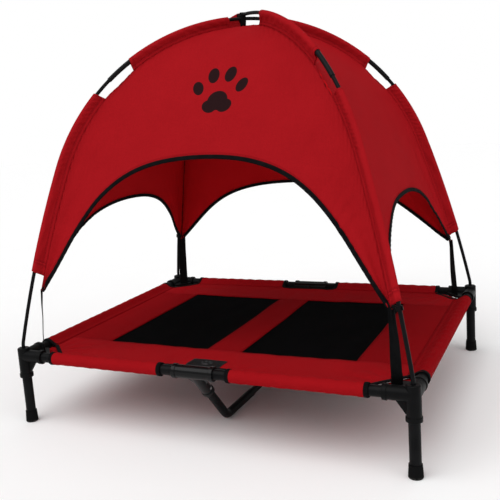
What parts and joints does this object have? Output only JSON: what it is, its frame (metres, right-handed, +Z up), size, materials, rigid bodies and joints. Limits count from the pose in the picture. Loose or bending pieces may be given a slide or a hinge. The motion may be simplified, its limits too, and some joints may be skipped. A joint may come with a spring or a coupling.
{
  "type": "dog bed with frame",
  "caption": "Raised rectangular pet cot: cloth deck with mesh windows on a tube frame, and a domed four-door canopy on two crossing poles that lifts off.",
  "frame": {"origin": "on the floor, under the middle of the bed", "axes": "+X along the bed's length, -Y towards the front door, +Z up"},
  "size_m": [0.913, 0.761, 0.8957],
  "materials": {
    "joint_plastic": "fine moulded texture, black",
    "centre_plastic": "semi-gloss moulded, black",
    "tube_steel": "black powder coat",
    "foot_rubber": "matte black",
    "bright_steel": "plain steel",
    "mesh_cloth": "open black mesh",
    "bed_cloth": "coated plain weave, red",
    "canopy_cloth": "thin coated plain weave, red",
    "black_tape": "woven binding tape",
    "label_cloth": "woven label, blank",
    "webbing": "ribbed narrow webbing",
    "pole_fibre": "black glass fibre rod",
    "ferrule_metal": "black coated sleeve",
    "elastic_cord": "braided elastic"
  },
  "bodies": {
    "frame": {"corner_joint_front_left": "joint_plastic", "leg_tube_front_left": "tube_steel", "foot_cap_front_left": "foot_rubber", "corner_joint_front_right": "joint_plastic", "leg_tube_front_right": "tube_steel", "foot_cap_front_right": "foot_rubber", "corner_joint_back_left": "joint_plastic", "leg_tube_back_left": "tube_steel", "foot_cap_back_left": "foot_rubber", "corner_joint_back_right": "joint_plastic", "leg_tube_back_right": "tube_steel", "foot_cap_back_right": "foot_rubber", "side_rail_left": "tube_steel", "front_rail_left": "tube_steel", "back_rail_left": "tube_steel", "mesh_panel_left": "mesh_cloth", "side_rail_right": "tube_steel", "front_rail_right": "tube_steel", "back_rail_right": "tube_steel", "mesh_panel_right": "mesh_cloth", "centre_joint_front": "centre_plastic", "brace_tube_front": "tube_steel", "centre_joint_back": "centre_plastic", "brace_tube_back": "tube_steel", "brace_link": "tube_steel", "spring_buttons": "bright_steel", "bed_cover": "bed_cloth", "cover_bindings": "black_tape", "cover_label": "label_cloth"},
    "canopy": {"canopy_panel_front": "canopy_cloth", "arch_binding_front": "black_tape", "canopy_panel_back": "canopy_cloth", "arch_binding_back": "black_tape", "canopy_panel_left": "canopy_cloth", "arch_binding_left": "black_tape", "canopy_panel_right": "canopy_cloth", "arch_binding_right": "black_tape", "pole_sleeve_front_left": "canopy_cloth", "pole_end_front_left": "pole_fibre", "corner_strap_front_left": "webbing", "pole_sleeve_front_right": "canopy_cloth", "pole_end_front_right": "pole_fibre", "corner_strap_front_right": "webbing", "pole_sleeve_back_left": "canopy_cloth", "pole_end_back_left": "pole_fibre", "corner_strap_back_left": "webbing", "pole_sleeve_back_right": "canopy_cloth", "pole_end_back_right": "pole_fibre", "corner_strap_back_right": "webbing", "seam_tapes": "black_tape", "pole_middle_lower": "pole_fibre", "pole_middle_upper": "pole_fibre", "pole_ferrules": "ferrule_metal", "pole_tips": "ferrule_metal", "shock_cords": "elastic_cord", "strap_tabs": "joint_plastic", "pole_hooks": "joint_plastic", "crown_tie": "webbing"}
  },
  "joints": [
    {"name": "canopy_lift", "type": "slide", "parent": "frame", "child": "canopy", "axis": [0, 0, 1], "range_m": [0, 0.15]}
  ]
}
